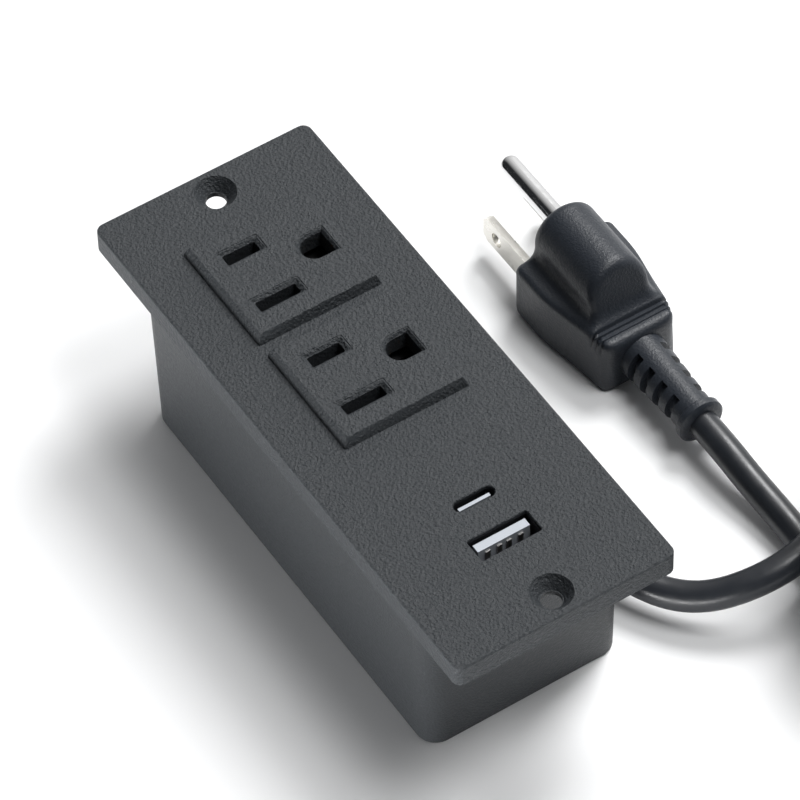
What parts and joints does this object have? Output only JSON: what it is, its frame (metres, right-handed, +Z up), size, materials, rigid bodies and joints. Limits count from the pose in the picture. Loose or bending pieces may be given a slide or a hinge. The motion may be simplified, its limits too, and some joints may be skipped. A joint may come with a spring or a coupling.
{
  "type": "desk power strip",
  "caption": "Black recessed desk power strip: flange plate with outlets and USB ports over a box body, and a moulded plug on a coiled cord.",
  "frame": {"origin": "centre of the underside of the strip's body, on the surface it stands on", "axes": "+Y along the strip, away from the USB end; +X towards the side that the cord leaves from; +Z up, out of the plate's face"},
  "size_m": [0.1486, 0.1717, 0.0437],
  "materials": {
    "plate_plastic": "black moulded plastic with a fine leather grain",
    "body_plastic": "black moulded plastic, fine matte texture",
    "screw_steel": "zinc-plated steel",
    "carrier_plastic": "dark grey flame-retardant moulding",
    "contact_brass": "bare stamped brass",
    "shutter_plastic": "black acetal",
    "spring_steel": "drawn stainless wire",
    "board_laminate": "green glass-epoxy laminate",
    "capacitor_sleeve": "shrink sleeve over an aluminium can",
    "chip_epoxy": "moulded epoxy",
    "ferrite": "matte fired ferrite",
    "winding_tape": "yellow polyester tape over copper",
    "fuse_glass": "clear tube with tinned caps",
    "port_steel": "tinned steel",
    "tongue_plastic": "white moulded nylon",
    "contact_gold": "gold-plated strip",
    "wire_black": "black PVC insulation",
    "wire_white": "white PVC insulation",
    "wire_green": "green PVC insulation",
    "cord_pvc": "black PVC jacket, satin",
    "tie_nylon": "black nylon",
    "plug_pvc": "black moulded PVC, fine satin grain",
    "blade_nickel": "nickel-plated brass, drawn finish",
    "pin_nickel": "polished nickel-plated brass"
  },
  "bodies": {
    "root": {"faceplate": "plate_plastic", "housing": "body_plastic", "assembly_screws": "screw_steel", "contact_carrier": "carrier_plastic", "carrier_cover": "carrier_plastic", "line_bus": "contact_brass", "neutral_bus": "contact_brass", "ground_bus": "contact_brass", "rear_shutter_spring": "spring_steel", "front_shutter_spring": "spring_steel", "usb_board": "board_laminate", "usb_board_screws": "screw_steel", "usb_input_capacitor": "capacitor_sleeve", "usb_output_capacitor": "capacitor_sleeve", "usb_board_chips": "chip_epoxy", "usb_fuse": "fuse_glass", "usb_a_shell": "port_steel", "usb_c_shell": "port_steel", "usb_a_tongue": "tongue_plastic", "usb_c_tongue": "tongue_plastic", "usb_a_contacts": "contact_gold", "usb_transformer_core": "ferrite", "usb_transformer_windings": "winding_tape", "line_wire": "wire_black", "neutral_wire": "wire_white", "ground_wire": "wire_green", "usb_line_lead": "wire_black", "usb_neutral_lead": "wire_white", "cord_gland": "cord_pvc", "cord_jacket_end": "cord_pvc", "cord_strip_side": "cord_pvc", "cord_plug_side": "cord_pvc", "cord_coil": "cord_pvc", "cable_tie": "tie_nylon", "plug_body": "plug_pvc", "plug_line_blade": "blade_nickel", "plug_neutral_blade": "blade_nickel", "plug_ground_pin": "pin_nickel"},
    "rear_shutter": {"rear_shutter": "shutter_plastic"},
    "front_shutter": {"front_shutter": "shutter_plastic"}
  },
  "joints": [
    {"name": "rear_shutter_slide", "type": "slide", "parent": "root", "child": "rear_shutter", "axis": [0, -1, 0], "range_m": [0, 0.0032], "stiffness_N_per_m": 40, "springref_m": -0.003, "deforming": ["rear_shutter_spring"]},
    {"name": "front_shutter_slide", "type": "slide", "parent": "root", "child": "front_shutter", "axis": [0, -1, 0], "range_m": [0, 0.0032], "stiffness_N_per_m": 40, "springref_m": -0.003, "deforming": ["front_shutter_spring"]}
  ]
}
